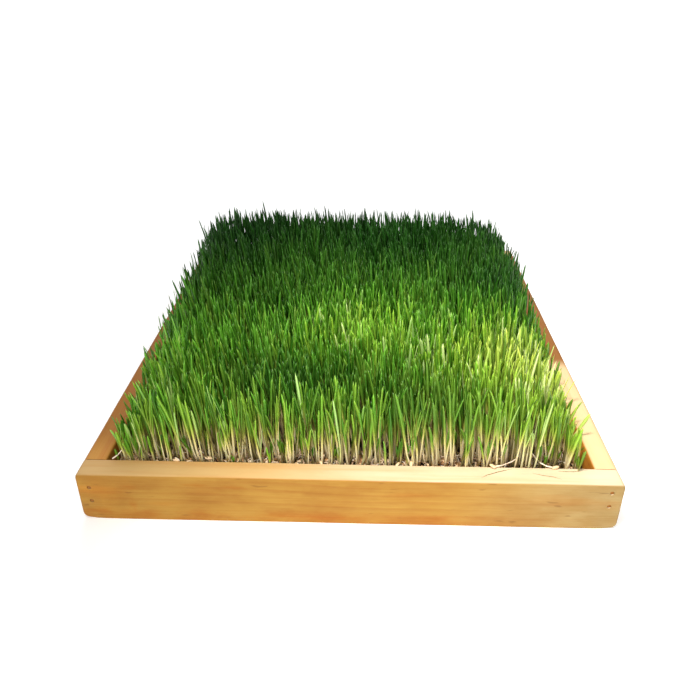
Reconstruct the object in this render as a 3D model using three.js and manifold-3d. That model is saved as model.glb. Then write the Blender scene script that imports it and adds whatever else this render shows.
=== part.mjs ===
// Wheatgrass growing in an open wooden tray. Millimetres, +Z up, the front rail faces -Y,
// and the origin is the middle of the tray's flat underside.
//
// The tray is four planed rails, butted at the corners and nailed through the long front and
// back rails into the ends of the side rails. A plywood panel lies in a rebate under the rails
// and is held by panel pins driven up from below. On it lie the soil, the layer of sprouted
// seeds and knitted roots, and the grass. The grass is many thousand separate blades, so it
// is grouped into a grid of patches, each a crown of matted stems with its blades standing on it.
import * as THREE from "three";
import { mergeVertices } from "three/addons/utils/BufferGeometryUtils.js";
import Module from "manifold-3d";

// ---- Driving dimensions -------------------------------------------------------------------

const TRAY_WIDTH = 480;
const TRAY_DEPTH = 560;
const RAIL_HEIGHT = 50;
const RAIL_THICKNESS = 22;
const EASED_EDGE = 1.2; // sanded edges of the planed rails
const WORN_LOWER_CORNER = 6; // lower end corners of the front and back rails
const WORN_UPPER_CORNER = 3;
const CLEARANCE = 0.3; // between pieces that touch

const PANEL_THICKNESS = 6;
const REBATE_WIDTH = 8;
const DRAIN_HOLE = { radius: 4, columns: [-120, 0, 120], rows: [-210, -70, 70, 210] };

const NAIL = { shankRadius: 1.2, headRadius: 1.7, headThickness: 1.2, length: 50, sides: 10, sunk: 0.8 };
const PANEL_PIN = { shankRadius: 0.8, headRadius: 1.5, headThickness: 0.8, length: 20, sides: 8, sunk: 0.3 };
const NAIL_INSET = 11; // from the rail's end: the middle of the side rail's end grain
// Heights of each corner's two nails above the underside. They were driven by eye.
const CORNER_NAILS = [
  { corner: "front_left", x: -1, y: -1, heights: [20.5, 35.5] },
  { corner: "front_right", x: 1, y: -1, heights: [26, 41] },
  { corner: "back_left", x: -1, y: 1, heights: [14, 36] },
  { corner: "back_right", x: 1, y: 1, heights: [15, 37] },
];
const PINS_PER_RAIL = 3;
const PIN_SPREAD = 0.4; // the outer pins' distance from the middle, as a share of the rail
const PIN_INSET = 4; // from the panel's edge

const SOIL_TOP = 34;
const SEED_LAYER_THICKNESS = 5;
const SWARD_GAP = 0.5; // between patches, and between the outer patches and the rails
const PATCH_COLUMNS = 5;
const PATCH_ROWS = 6;
const CROWN_THICKNESS = 1.5;
const BLADES_ACROSS = 5; // in each patch
const BLADES_DEEP = 4;
const BLADE = { halfWidth: 4, halfThickness: 1.6, lean: 9, rootDepth: 0.5 };
const TIP_ABOVE_RIM = 66; // in the middle of the sward
const TALLEST_ABOVE_RIM = 88; // a few blades at the back
const TALLEST_SHARE = 0.06;
const EDGE_DROP = 38; // how much lower the grass is at the front half's side edges
const EDGE_BAND = 60; // width of that lower band

// ---- Helpers ------------------------------------------------------------------------------

const INNER_X = TRAY_WIDTH / 2 - RAIL_THICKNESS;
const INNER_Y = TRAY_DEPTH / 2 - RAIL_THICKNESS;
const QUARTER_TURN = Math.PI / 2;

const wasm = await Module();
wasm.setup();

function solidOf(geometry) {
  const bare = geometry.clone();
  for (const name of Object.keys(bare.attributes)) {
    if (name !== "position") bare.deleteAttribute(name);
  }
  const merged = mergeVertices(bare, 1e-4);
  const vertProperties = new Float32Array(merged.attributes.position.array);
  const triVerts = new Uint32Array(merged.index.array);
  return new wasm.Manifold(new wasm.Mesh({ numProp: 3, vertProperties, triVerts }));
}

function geometryOf(solid) {
  const mesh = solid.getMesh();
  const indexed = new THREE.BufferGeometry();
  indexed.setAttribute("position", new THREE.BufferAttribute(mesh.vertProperties, 3));
  indexed.setIndex(new THREE.BufferAttribute(mesh.triVerts, 1));
  const faceted = indexed.toNonIndexed();
  faceted.computeVertexNormals();
  return faceted;
}

// A named mesh at its place in the tray.
function piece(name, geometry, finish, position = [0, 0, 0], rotation = [0, 0, 0]) {
  const mesh = new THREE.Mesh(geometry, new THREE.MeshStandardMaterial(finish));
  mesh.name = name;
  mesh.position.set(...position);
  mesh.rotation.set(...rotation);
  mesh.updateMatrix();
  return mesh;
}

// Cuts geometries that stand in the tray's frame out of a placed piece.
function cutOut(mesh, cutters) {
  let solid = solidOf(mesh.geometry.applyMatrix4(mesh.matrix));
  for (const cutter of cutters) solid = solid.subtract(solidOf(cutter));
  mesh.geometry = geometryOf(solid).applyMatrix4(mesh.matrix.clone().invert());
  return mesh;
}

function seededRandom(seed) {
  let state = seed;
  return () => {
    state = (state + 0x6d2b79f5) | 0;
    let mixed = Math.imul(state ^ (state >>> 15), 1 | state);
    mixed = (mixed + Math.imul(mixed ^ (mixed >>> 7), 61 | mixed)) ^ mixed;
    return ((mixed ^ (mixed >>> 14)) >>> 0) / 4294967296;
  };
}

// ---- Finishes -----------------------------------------------------------------------------

const PINE = { color: 0xd6a25c, roughness: 0.62, metalness: 0 };
const PLYWOOD = { color: 0xcfae7c, roughness: 0.7, metalness: 0 };
const STEEL = { color: 0x7d7568, roughness: 0.45, metalness: 0.9 };
const SOIL = { color: 0x3a2415, roughness: 0.95, metalness: 0 };
const SEEDS = { color: 0xa2845a, roughness: 0.9, metalness: 0 };

// The grass is dark at the back left and lightest at the front right.
function grassFinish(row, column) {
  const nearness = 1 - row / (PATCH_ROWS - 1);
  const rightness = column / (PATCH_COLUMNS - 1);
  const color = new THREE.Color().setHSL(0.27, 0.55, 0.2 + 0.12 * nearness + 0.06 * rightness);
  return { color, roughness: 0.55, metalness: 0 };
}

// ---- Fasteners ----------------------------------------------------------------------------

// A nail or pin turned round the Y axis: its head's flat face at y = 0, its point towards -Y.
function fastener({ shankRadius, headRadius, headThickness, length, sides }) {
  const pointLength = 3 * shankRadius;
  const profile = [
    new THREE.Vector2(0, -length),
    new THREE.Vector2(shankRadius, pointLength - length),
    new THREE.Vector2(shankRadius, -headThickness),
    new THREE.Vector2(headRadius, -headThickness),
    new THREE.Vector2(headRadius, 0),
    new THREE.Vector2(0, 0),
  ];
  return new THREE.LatheGeometry(profile, sides);
}

// The hole that a placed fastener fills, with clearance round it, open above the head.
function holeFor({ shankRadius, headRadius, headThickness, length, sides, sunk }, mesh) {
  const above = sunk + 1;
  const shelf = -headThickness - CLEARANCE;
  const profile = [
    new THREE.Vector2(0, -length - CLEARANCE),
    new THREE.Vector2(shankRadius + CLEARANCE, -length - CLEARANCE),
    new THREE.Vector2(shankRadius + CLEARANCE, shelf),
    new THREE.Vector2(headRadius + CLEARANCE, shelf),
    new THREE.Vector2(headRadius + CLEARANCE, above),
    new THREE.Vector2(0, above),
  ];
  return new THREE.LatheGeometry(profile, sides).applyMatrix4(mesh.matrix);
}

// Two nails at each corner, with their heads in the front or back face.
const nails = CORNER_NAILS.flatMap(({ corner, x, y, heights }) =>
  heights.map((height, index) => {
    const name = `nail_${corner}_${index === 0 ? "lower" : "upper"}`;
    const position = [x * (TRAY_WIDTH / 2 - NAIL_INSET), y * (TRAY_DEPTH / 2 - NAIL.sunk), height];
    const rotation = [y < 0 ? 2 * QUARTER_TURN : 0, 0, 0];
    return piece(name, fastener(NAIL), STEEL, position, rotation);
  }),
);

const PANEL_HALF_X = INNER_X + REBATE_WIDTH - CLEARANCE;
const PANEL_HALF_Y = INNER_Y + REBATE_WIDTH - CLEARANCE;

// The pins stand on their heads in the panel's underside, spread along each rail.
function pinRow(rail, side, alongX) {
  return Array.from({ length: PINS_PER_RAIL }, (_, index) => {
    const step = (2 * index) / (PINS_PER_RAIL - 1) - 1;
    const x = alongX ? step * PIN_SPREAD * TRAY_WIDTH : side * (PANEL_HALF_X - PIN_INSET);
    const y = alongX ? side * (PANEL_HALF_Y - PIN_INSET) : step * PIN_SPREAD * TRAY_DEPTH;
    const name = `panel_pin_${rail}_${index + 1}`;
    return piece(name, fastener(PANEL_PIN), STEEL, [x, y, PANEL_PIN.sunk], [-QUARTER_TURN, 0, 0]);
  });
}

const panelPins = [
  ...pinRow("front", -1, true),
  ...pinRow("back", 1, true),
  ...pinRow("left", -1, false),
  ...pinRow("right", 1, false),
];

const nailHoles = nails.map((nail) => holeFor(NAIL, nail));
const pinHoles = panelPins.map((pin) => holeFor(PANEL_PIN, pin));

// ---- Rails --------------------------------------------------------------------------------

// The space that the panel fills: its rim is the rebate along the bottom of each rail.
const panelBay = new THREE.BoxGeometry(
  2 * (INNER_X + REBATE_WIDTH),
  2 * (INNER_Y + REBATE_WIDTH),
  2 * (PANEL_THICKNESS + CLEARANCE),
);

function roundedOutline(width, height, lowerRadius, upperRadius) {
  const x = width / 2;
  const top = height - upperRadius;
  const outline = new THREE.Shape();
  outline.moveTo(-x + lowerRadius, 0);
  outline.absarc(x - lowerRadius, lowerRadius, lowerRadius, -QUARTER_TURN, 0, false);
  outline.absarc(x - upperRadius, top, upperRadius, 0, QUARTER_TURN, false);
  outline.absarc(-x + upperRadius, top, upperRadius, QUARTER_TURN, 2 * QUARTER_TURN, false);
  outline.absarc(-x + lowerRadius, lowerRadius, lowerRadius, 2 * QUARTER_TURN, 3 * QUARTER_TURN, false);
  return outline;
}

// A long rail lies along X, with its eased edges rolled over both faces and both worn ends.
function longRail(name, side) {
  const outline = roundedOutline(TRAY_WIDTH, RAIL_HEIGHT, WORN_LOWER_CORNER, WORN_UPPER_CORNER);
  const body = new THREE.ExtrudeGeometry(outline, {
    depth: RAIL_THICKNESS - 2 * EASED_EDGE,
    curveSegments: 4,
    bevelThickness: EASED_EDGE,
    bevelSize: EASED_EDGE,
    bevelOffset: -EASED_EDGE,
    bevelSegments: 2,
  });
  body.translate(0, 0, EASED_EDGE - RAIL_THICKNESS / 2);
  const position = [0, side * (INNER_Y + RAIL_THICKNESS / 2), 0];
  const rail = piece(name, body, PINE, position, [QUARTER_TURN, 0, 0]);
  return cutOut(rail, [panelBay, ...nailHoles, ...pinHoles]);
}

// A side rail lies along Y between the long rails, with its ends cut square.
function sideRail(name, side) {
  const outline = roundedOutline(RAIL_THICKNESS, RAIL_HEIGHT, EASED_EDGE, EASED_EDGE);
  const length = 2 * (INNER_Y - CLEARANCE);
  const body = new THREE.ExtrudeGeometry(outline, { depth: length, curveSegments: 3, bevelEnabled: false });
  body.translate(0, 0, -length / 2);
  const position = [side * (INNER_X + RAIL_THICKNESS / 2), 0, 0];
  const rail = piece(name, body, PINE, position, [QUARTER_TURN, 0, 0]);
  return cutOut(rail, [panelBay, ...nailHoles, ...pinHoles]);
}

// ---- Bottom panel -------------------------------------------------------------------------

function drainHole(x, y) {
  const hole = new THREE.CylinderGeometry(DRAIN_HOLE.radius, DRAIN_HOLE.radius, 4 * PANEL_THICKNESS, 10);
  return hole.rotateX(QUARTER_TURN).translate(x, y, 0);
}

function bottomPanel() {
  const sheet = new THREE.BoxGeometry(2 * PANEL_HALF_X, 2 * PANEL_HALF_Y, PANEL_THICKNESS);
  const drains = DRAIN_HOLE.columns.flatMap((x) => DRAIN_HOLE.rows.map((y) => drainHole(x, y)));
  const panel = piece("bottom_panel", sheet, PLYWOOD, [0, 0, PANEL_THICKNESS / 2]);
  return cutOut(panel, [...drains, ...pinHoles]);
}

// ---- Soil and seeds -----------------------------------------------------------------------

const SEED_LAYER_TOP = SOIL_TOP + SEED_LAYER_THICKNESS;

function bedLayer(name, finish, bottom, top) {
  const slab = new THREE.BoxGeometry(2 * (INNER_X - CLEARANCE), 2 * (INNER_Y - CLEARANCE), top - bottom);
  return piece(name, slab, finish, [0, 0, (bottom + top) / 2]);
}

// ---- Grass --------------------------------------------------------------------------------

const PATCH_PITCH_X = (2 * INNER_X - SWARD_GAP) / PATCH_COLUMNS;
const PATCH_PITCH_Y = (2 * INNER_Y - SWARD_GAP) / PATCH_ROWS;
const PATCH_HALF_X = (PATCH_PITCH_X - SWARD_GAP) / 2;
const PATCH_HALF_Y = (PATCH_PITCH_Y - SWARD_GAP) / 2;

const clampTo = (value, half) => THREE.MathUtils.clamp(value, -half, half);

// How high the tips stand: level in the middle and at the back, lower along the front half's sides.
function swardTop(x, y) {
  const nearness = (INNER_Y - y) / (2 * INNER_Y);
  const edge = Math.max(0, 1 - (INNER_X - Math.abs(x)) / EDGE_BAND);
  return RAIL_HEIGHT + TIP_ABOVE_RIM - EDGE_DROP * nearness * edge;
}

// One tapered blade: a slim three-sided spike from the crown to a leaning tip.
function bladeGeometry(root, tip, turn) {
  const rise = tip.clone().sub(root);
  const blade = new THREE.ConeGeometry(1, rise.z, 3).rotateX(QUARTER_TURN).translate(0, 0, rise.z / 2);
  blade.scale(BLADE.halfWidth, BLADE.halfThickness, 1).rotateZ(turn);
  blade.applyMatrix4(new THREE.Matrix4().makeShear(0, 0, 0, 0, rise.x / rise.z, rise.y / rise.z));
  return blade.translate(root.x, root.y, root.z);
}

// A patch stands on z = 0 round its own middle. Its blades keep inside its own footprint, so
// that neighbouring patches stay clear of each other.
function grassPatch(centre, random) {
  const crown = new THREE.BoxGeometry(2 * PATCH_HALF_X, 2 * PATCH_HALF_Y, CROWN_THICKNESS);
  let patch = solidOf(crown.translate(0, 0, CROWN_THICKNESS / 2));
  const margin = BLADE.halfWidth + 1;
  for (let i = 0; i < BLADES_ACROSS; i += 1) {
    for (let j = 0; j < BLADES_DEEP; j += 1) {
      const x = (2 * (i + 0.25 + 0.5 * random())) / BLADES_ACROSS - 1;
      const y = (2 * (j + 0.25 + 0.5 * random())) / BLADES_DEEP - 1;
      const root = new THREE.Vector3(
        clampTo(x * PATCH_HALF_X, PATCH_HALF_X - margin),
        clampTo(y * PATCH_HALF_Y, PATCH_HALF_Y - margin),
        CROWN_THICKNESS - BLADE.rootDepth,
      );
      const level = swardTop(centre.x + root.x, centre.y + root.y) - centre.z;
      const isTallest = centre.y > INNER_Y / 2 && random() < TALLEST_SHARE;
      const tip = new THREE.Vector3(
        clampTo(root.x + BLADE.lean * (2 * random() - 1), PATCH_HALF_X - 1),
        clampTo(root.y + BLADE.lean * (2 * random() - 1), PATCH_HALF_Y - 1),
        isTallest ? RAIL_HEIGHT + TALLEST_ABOVE_RIM - centre.z : level * (0.85 + 0.2 * random()),
      );
      patch = patch.add(solidOf(bladeGeometry(root, tip, 2 * random() * QUARTER_TURN)));
    }
  }
  return geometryOf(patch);
}

function swardPatch(row, column) {
  const centre = new THREE.Vector3(
    (column - (PATCH_COLUMNS - 1) / 2) * PATCH_PITCH_X,
    (row - (PATCH_ROWS - 1) / 2) * PATCH_PITCH_Y,
    SEED_LAYER_TOP + CLEARANCE,
  );
  const geometry = grassPatch(centre, seededRandom(101 + row * PATCH_COLUMNS + column));
  const name = `grass_patch_r${row + 1}_c${column + 1}`;
  return piece(name, geometry, grassFinish(row, column), centre.toArray());
}

// ---- The whole tray -----------------------------------------------------------------------

const tray = new THREE.Group();
tray.add(longRail("front_rail", -1), longRail("back_rail", 1));
tray.add(sideRail("left_rail", -1), sideRail("right_rail", 1));
tray.add(bottomPanel(), ...nails, ...panelPins);

const bed = new THREE.Group();
bed.add(bedLayer("soil_bed", SOIL, PANEL_THICKNESS + CLEARANCE, SOIL_TOP));
bed.add(bedLayer("seed_and_root_layer", SEEDS, SOIL_TOP + CLEARANCE, SEED_LAYER_TOP));

const sward = new THREE.Group();
for (let row = 0; row < PATCH_ROWS; row += 1) {
  for (let column = 0; column < PATCH_COLUMNS; column += 1) sward.add(swardPatch(row, column));
}

const group = new THREE.Group();
group.add(tray, bed, sward);

export default group;
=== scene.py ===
"""Young wheatgrass growing in an open wooden tray.

Everything is in metres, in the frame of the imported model: +Z up, the front rail towards -Y, and
the origin in the middle of the tray's underside. The nails, the panel pins and the bottom panel
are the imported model's own. The rails, the soil, the sprouted grain, the roots and the grass are
modelled here, and stand for the plain solids of the same places.
"""

import math

import bmesh
import bpy
import numpy as np
from bmesh.types import BMEdge, BMVert
from mathutils import Matrix, Vector, noise


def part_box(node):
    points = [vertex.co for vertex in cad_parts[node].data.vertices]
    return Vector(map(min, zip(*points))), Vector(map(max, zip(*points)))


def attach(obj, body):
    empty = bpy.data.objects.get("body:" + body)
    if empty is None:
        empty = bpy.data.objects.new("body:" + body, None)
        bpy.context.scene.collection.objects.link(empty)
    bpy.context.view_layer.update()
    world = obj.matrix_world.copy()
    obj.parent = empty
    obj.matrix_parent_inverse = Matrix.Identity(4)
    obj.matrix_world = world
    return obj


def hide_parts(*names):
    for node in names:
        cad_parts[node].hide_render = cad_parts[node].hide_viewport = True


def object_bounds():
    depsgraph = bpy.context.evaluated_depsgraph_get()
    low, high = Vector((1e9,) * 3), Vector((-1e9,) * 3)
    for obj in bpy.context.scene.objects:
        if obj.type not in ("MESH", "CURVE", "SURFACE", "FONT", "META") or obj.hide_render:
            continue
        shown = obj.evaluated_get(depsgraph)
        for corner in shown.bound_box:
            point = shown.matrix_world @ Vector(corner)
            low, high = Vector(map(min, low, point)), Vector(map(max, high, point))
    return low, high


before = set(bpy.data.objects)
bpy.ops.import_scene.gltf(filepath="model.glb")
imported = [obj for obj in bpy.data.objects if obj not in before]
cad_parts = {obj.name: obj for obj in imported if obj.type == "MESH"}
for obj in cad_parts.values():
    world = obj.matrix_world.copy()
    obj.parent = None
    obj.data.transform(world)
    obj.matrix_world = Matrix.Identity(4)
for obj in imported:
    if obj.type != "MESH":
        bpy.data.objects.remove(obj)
CAD_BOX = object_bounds()

MM = 0.001
BODY = "root"
SAME = 1e-6  # two places closer than this are one place

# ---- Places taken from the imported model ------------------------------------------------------

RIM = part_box("front_rail")[1].z
INNER_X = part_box("right_rail")[0].x
INNER_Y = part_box("back_rail")[0].y
SEEDS_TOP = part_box("seed_and_root_layer")[1].z
SOIL_LOW, SOIL_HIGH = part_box("soil_bed")
PATCH_ROWS = 6
PATCH_COLUMNS = 5

# ---- Making objects --------------------------------------------------------------------------


def linked(name, data):
    """A new object in the scene, for a mesh, a light or a camera."""
    made = bpy.data.objects.new(name, data)
    bpy.context.scene.collection.objects.link(made)
    return made


def object_from(bm, name):
    mesh = bpy.data.meshes.new(name)
    bm.to_mesh(mesh)
    bm.free()
    return linked(name, mesh)


def only(kind, geometry):
    """The parts of some geometry that are of one kind."""
    return [part for part in geometry if isinstance(part, kind)]


def add_box(bm, low, high):
    bmesh.ops.create_cube(bm, size=1)
    bmesh.ops.scale(bm, verts=bm.verts, vec=high - low)
    bmesh.ops.translate(bm, verts=bm.verts, vec=(low + high) / 2)


def smooth_by_angle(piece, degrees):
    piece.data.polygons.foreach_set("use_smooth", [True] * len(piece.data.polygons))
    piece.data.set_sharp_from_angle(angle=math.radians(degrees))


def dress(piece, material):
    piece.data.materials.clear()
    piece.data.materials.append(material)


def settle(piece, material, slot, *nodes):
    """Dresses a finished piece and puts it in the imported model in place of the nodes."""
    dress(piece, material)
    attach(piece, BODY)
    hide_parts(*nodes)


# ---- Material recipes ------------------------------------------------------------------------


class Recipe:
    """A material's nodes, with one short method for each kind of node."""

    def __init__(self, name, roughness=0.6):
        self.material = bpy.data.materials.new(name)
        self.material.use_nodes = True
        self.tree = self.material.node_tree
        self.shader = self.tree.nodes["Principled BSDF"]
        self.output = self.tree.nodes["Material Output"]
        self.shader.inputs["Roughness"].default_value = roughness

    def node(self, kind, **settings):
        made = self.tree.nodes.new("ShaderNode" + kind)
        for name, value in settings.items():
            setattr(made, name, value)
        return made

    def feed(self, socket, value):
        """Links a socket to another one's output, or gives it a fixed value."""
        if isinstance(value, bpy.types.NodeSocket):
            self.tree.links.new(value, socket)
        elif hasattr(value, "__len__") and len(value) == 3 and socket.type == "RGBA":
            socket.default_value = (*value, 1)
        else:
            socket.default_value = value

    def set(self, name, value):
        self.feed(self.shader.inputs[name], value)

    def place(self):
        return self.node("TexCoord").outputs["Object"]

    def attribute(self, name):
        return self.node("Attribute", attribute_name=name).outputs["Fac"]

    def mapped(self, vector, scale=(1, 1, 1), turn=(0, 0, 0), shift=(0, 0, 0)):
        mapping = self.node("Mapping")
        self.feed(mapping.inputs["Vector"], vector)
        mapping.inputs["Scale"].default_value = scale
        mapping.inputs["Rotation"].default_value = turn
        mapping.inputs["Location"].default_value = shift
        return mapping.outputs["Vector"]

    def parts(self, vector):
        split = self.node("SeparateXYZ")
        self.feed(split.inputs[0], vector)
        return split.outputs["X"], split.outputs["Y"], split.outputs["Z"]

    def noise(self, vector, scale, detail=2.0, roughness=0.5):
        texture = self.node("TexNoise")
        self.feed(texture.inputs["Vector"], vector)
        texture.inputs["Scale"].default_value = scale
        texture.inputs["Detail"].default_value = detail
        texture.inputs["Roughness"].default_value = roughness
        return texture.outputs["Fac"]

    def math(self, operation, a, b=0.0, c=0.0):
        made = self.node("Math", operation=operation)
        for socket, value in zip(made.inputs, (a, b, c)):
            self.feed(socket, value)
        return made.outputs[0]

    def spread(self, value, low, high, out_low=0.0, out_high=1.0):
        """The value from low to high, eased into out_low to out_high."""
        made = self.node("MapRange", interpolation_type="SMOOTHSTEP")
        names = ("Value", "From Min", "From Max", "To Min", "To Max")
        for name, given in zip(names, (value, low, high, out_low, out_high)):
            self.feed(made.inputs[name], given)
        return made.outputs["Result"]

    def ramp(self, factor, *stops):
        """A colour ramp through stops of a place from 0 to 1 and a colour."""
        made = self.node("ValToRGB")
        elements = made.color_ramp.elements
        while len(elements) < len(stops):
            elements.new(0.5)
        for element, (place, colour) in zip(elements, stops):
            element.position = place
            element.color = (*colour, 1)
        self.feed(made.inputs["Fac"], factor)
        return made.outputs["Color"]

    def mix(self, factor, a, b, blend="MIX"):
        made = self.node("Mix", data_type="RGBA", blend_type=blend)
        self.feed(made.inputs["Factor"], factor)
        self.feed(made.inputs[6], a)
        self.feed(made.inputs[7], b)
        return made.outputs[2]

    def tinted(self, share, colour, tint):
        """The colour multiplied by a share of the tint."""
        return self.mix(share, colour, tint, "MULTIPLY")

    def length(self, vector):
        made = self.node("VectorMath", operation="LENGTH")
        self.feed(made.inputs[0], vector)
        return made.outputs["Value"]

    def bump(self, height, distance):
        made = self.node("Bump")
        self.feed(made.inputs["Height"], height)
        made.inputs["Distance"].default_value = distance
        made.inputs["Strength"].default_value = 1.0
        self.set("Normal", made.outputs["Normal"])


def srgb(red, green, blue):
    """A colour from its usual 0 to 255 values, as the linear light that the shaders take."""

    def linear(value):
        share = value / 255
        return share / 12.92 if share <= 0.04045 else ((share + 0.055) / 1.055) ** 2.4

    return linear(red), linear(green), linear(blue)


# ---- Camera, lights and floor ----------------------------------------------------------------

CAMERA_PLACE = Vector((0.0129, -0.7437, 0.4386))
CAMERA_HEADING = math.radians(-1.4225)
CAMERA_DIP = math.radians(29.216)
CAMERA_ROLL = math.radians(0.216)
CAMERA_LENS = 35.31
CAMERA_SENSOR = 36
ROOM_LIGHT = 0.60
FLOOR_REACH = 60
FLOOR_GAP = 0.2 * MM


def make_camera():
    data = bpy.data.cameras.new("camera")
    data.sensor_width = CAMERA_SENSOR
    data.lens = CAMERA_LENS
    camera = linked("camera", data)
    level = math.cos(CAMERA_DIP)
    forward = Vector(
        (math.sin(CAMERA_HEADING) * level, math.cos(CAMERA_HEADING) * level, -math.sin(CAMERA_DIP))
    )
    right = forward.cross(Vector((0, 0, 1))).normalized()
    up = right.cross(forward)
    rolled_right = math.cos(CAMERA_ROLL) * right + math.sin(CAMERA_ROLL) * up
    rolled_up = rolled_right.cross(forward)
    turn = Matrix((rolled_right, rolled_up, -forward)).transposed().to_4x4()
    camera.matrix_world = Matrix.Translation(CAMERA_PLACE) @ turn
    bpy.context.scene.camera = camera


def shine(data, place, aim, power, colour):
    """Puts a light in its place, turned towards its aim."""
    data.energy = power
    data.color = colour
    light = linked(data.name, data)
    light.location = place
    light.rotation_euler = (Vector(aim) - Vector(place)).to_track_quat("-Z", "Y").to_euler()
    return light


def area_light(name, place, aim, size, power, colour=(1, 1, 1)):
    data = bpy.data.lights.new(name, "AREA")
    data.shape = "DISK"
    data.size = size
    shine(data, place, aim, power, colour).visible_camera = False


def spot_light(name, place, aim, radius, beam_degrees, power, colour):
    data = bpy.data.lights.new(name, "SPOT")
    data.shadow_soft_size = radius
    data.spot_size = math.radians(beam_degrees)
    data.spot_blend = 1.0
    shine(data, place, aim, power, colour)


def make_lights():
    world = bpy.data.worlds.new("studio")
    world.use_nodes = True
    background = world.node_tree.nodes["Background"]
    background.inputs["Color"].default_value = (1, 1, 1, 1)
    background.inputs["Strength"].default_value = ROOM_LIGHT
    bpy.context.scene.world = world
    spot_light(
        "key",
        place=(-0.10, -0.52, 1.02),
        aim=(0.18, -0.16, 0.06),
        radius=0.07,
        beam_degrees=52,
        power=66,
        colour=(1.0, 0.95, 0.84),
    )
    area_light(
        "front_fill",
        place=(0.0, -1.9, 0.62),
        aim=(0.0, -0.2, 0.05),
        size=1.2,
        power=18,
        colour=(1.0, 0.98, 0.94),
    )
    area_light("backdrop", place=(0.0, 9.0, 5.0), aim=(0.0, 10.0, 0.0), size=8.0, power=1500)


def make_floor():
    bm = bmesh.new()
    bmesh.ops.create_grid(bm, x_segments=1, y_segments=1, size=FLOOR_REACH)
    bmesh.ops.translate(bm, verts=bm.verts, vec=(0, 0, CAD_BOX[0].z - FLOOR_GAP))
    floor = object_from(bm, "floor")
    r = Recipe("pale_floor", roughness=0.9)
    r.set("Base Color", (0.9, 0.9, 0.9))
    r.set("Emission Color", (1, 1, 1))
    r.set("Emission Strength", 0.25)
    dress(floor, r.material)


# ---- Wood ------------------------------------------------------------------------------------

RING_SPACING = 7.5 * MM
RING_SWAY = 26 * MM


def late_wood(r, turned, heart):
    """The dark outer side of each growth ring, from 0 to 1, about a heart that runs along X."""
    wander = r.mapped(turned, scale=(3.0, 9, 9))
    sway = r.math("MULTIPLY_ADD", r.noise(wander, 1.0, 2.0), RING_SWAY, -RING_SWAY / 2)
    _, across, height = r.parts(turned)
    squares = []
    for value, middle in zip((across, height), heart):
        from_heart = r.math("ADD", r.math("SUBTRACT", value, middle), sway)
        squares.append(r.math("MULTIPLY", from_heart, from_heart))
    radius = r.math("SQRT", r.math("ADD", *squares))
    ring = r.math("FRACT", r.math("DIVIDE", radius, RING_SPACING))
    return r.ramp(
        ring, (0.0, (0, 0, 0)), (0.35, (0.1, 0.1, 0.1)), (0.85, (1, 1, 1)), (1.0, (0, 0, 0))
    )


def marked(r, colour, marks):
    """The colour with soft-edged spots on it."""
    for x, z, reach_x, reach_z, tint in marks:
        shares = (1 / reach_x, 0, 1 / reach_z)
        from_mark = r.mapped(r.place(), scale=shares, shift=(-x * shares[0], 0, -z * shares[2]))
        away = r.math("MULTIPLY_ADD", r.noise(from_mark, 1.5, 3.0), 1.6, r.length(from_mark))
        colour = r.tinted(r.spread(away, 0.7, 2.0, 0.65, 0.0), colour, tint)
    return colour


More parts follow.
